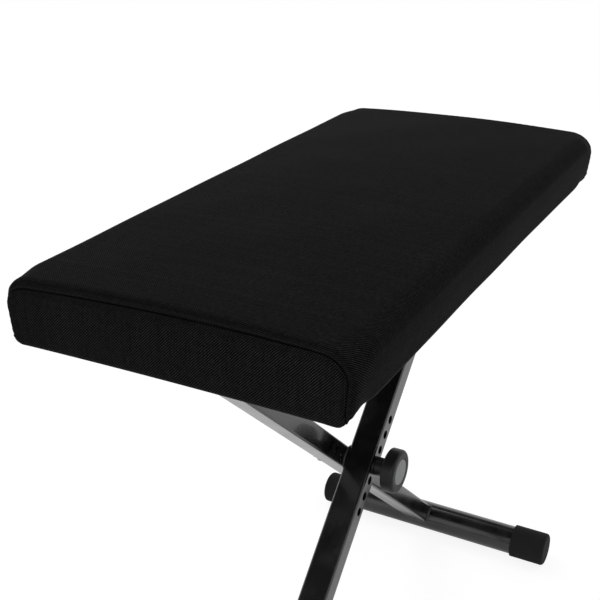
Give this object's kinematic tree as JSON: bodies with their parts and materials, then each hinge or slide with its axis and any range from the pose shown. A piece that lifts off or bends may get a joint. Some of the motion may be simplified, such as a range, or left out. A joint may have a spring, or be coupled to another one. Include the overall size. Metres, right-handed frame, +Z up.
{
  "type": "folding keyboard bench",
  "caption": "Padded bench for a keyboard player: long upholstered seat on a single X of black steel tube, with legs that fold flat and a hand clamp at the crossing.",
  "frame": {"origin": "on the floor under the middle of the seat, the centre of the bounding box's bottom face", "axes": "+Z up, +X along the seat, -Y towards the side with the clamp knob"},
  "size_m": [0.6, 0.304, 0.547],
  "materials": {
    "seat_fabric": "black coarse woven cover over foam, matt",
    "plywood": "birch plywood, stained black",
    "black_steel": "black powder coat, semi-gloss",
    "zinc_steel": "bright zinc plate",
    "black_nylon": "black moulded nylon",
    "black_rubber": "black moulded rubber, matt",
    "knob_plastic": "black moulded plastic with a fine grain",
    "badge_plastic": "satin grey disc, bare"
  },
  "bodies": {
    "seat": {"seat_cushion": "seat_fabric", "seat_board": "plywood", "saddle_strap_front_right": "black_steel", "saddle_strap_front_left": "black_steel", "saddle_strap_rear_right": "black_steel", "saddle_strap_rear_left": "black_steel", "hinge_bush_front_right": "black_nylon", "hinge_bush_front_left": "black_nylon", "hinge_bush_rear_right": "black_nylon", "hinge_bush_rear_left": "black_nylon", "strap_screw_front_right_inner": "zinc_steel", "strap_screw_front_right_outer": "zinc_steel", "strap_screw_front_left_inner": "zinc_steel", "strap_screw_front_left_outer": "zinc_steel", "strap_screw_rear_right_inner": "zinc_steel", "strap_screw_rear_right_outer": "zinc_steel", "strap_screw_rear_left_inner": "zinc_steel", "strap_screw_rear_left_outer": "zinc_steel"},
    "front_leg": {"front_leg_arm": "black_steel", "front_leg_top_tube": "black_steel", "front_leg_foot_tube": "black_steel", "front_leg_plug_front": "black_nylon", "front_leg_plug_rear": "black_nylon", "front_leg_foot_cap_front": "black_rubber", "front_leg_foot_cap_rear": "black_rubber"},
    "rear_leg": {"rear_leg_arm": "black_steel", "rear_leg_top_tube": "black_steel", "rear_leg_foot_tube": "black_steel", "rear_leg_plug_front": "black_nylon", "rear_leg_plug_rear": "black_nylon", "rear_leg_foot_cap_front": "black_rubber", "rear_leg_foot_cap_rear": "black_rubber", "spacer_washer": "black_nylon"},
    "knob_carrier": {"hub_washer": "knob_plastic"},
    "knob": {"clamp_knob": "knob_plastic", "knob_badge": "badge_plastic", "clamp_screw": "zinc_steel"},
    "sleeve_nut": {"sleeve_nut": "zinc_steel"}
  },
  "joints": [
    {"name": "front_leg_fold", "type": "hinge", "parent": "seat", "child": "front_leg", "pos_m": [0.2315, 0, 0.4724], "axis": [0, 1, 0], "range_deg": [0, 39.5]},
    {"name": "rear_leg_fold", "type": "hinge", "parent": "seat", "child": "rear_leg", "pos_m": [-0.2315, 0, 0.4724], "axis": [0, -1, 0], "range_deg": [0, 39.5]},
    {"name": "knob_pull", "type": "slide", "parent": "front_leg", "child": "knob_carrier", "axis": [0, -1, 0], "range_m": [0, 0.06]},
    {"name": "knob_turn", "type": "hinge", "parent": "knob_carrier", "child": "knob", "pos_m": [0, -0.04, 0.25577], "axis": [0, 1, 0], "continuous": true},
    {"name": "nut_pull", "type": "slide", "parent": "rear_leg", "child": "sleeve_nut", "axis": [0, 1, 0], "range_m": [0, 0.06]}
  ]
}
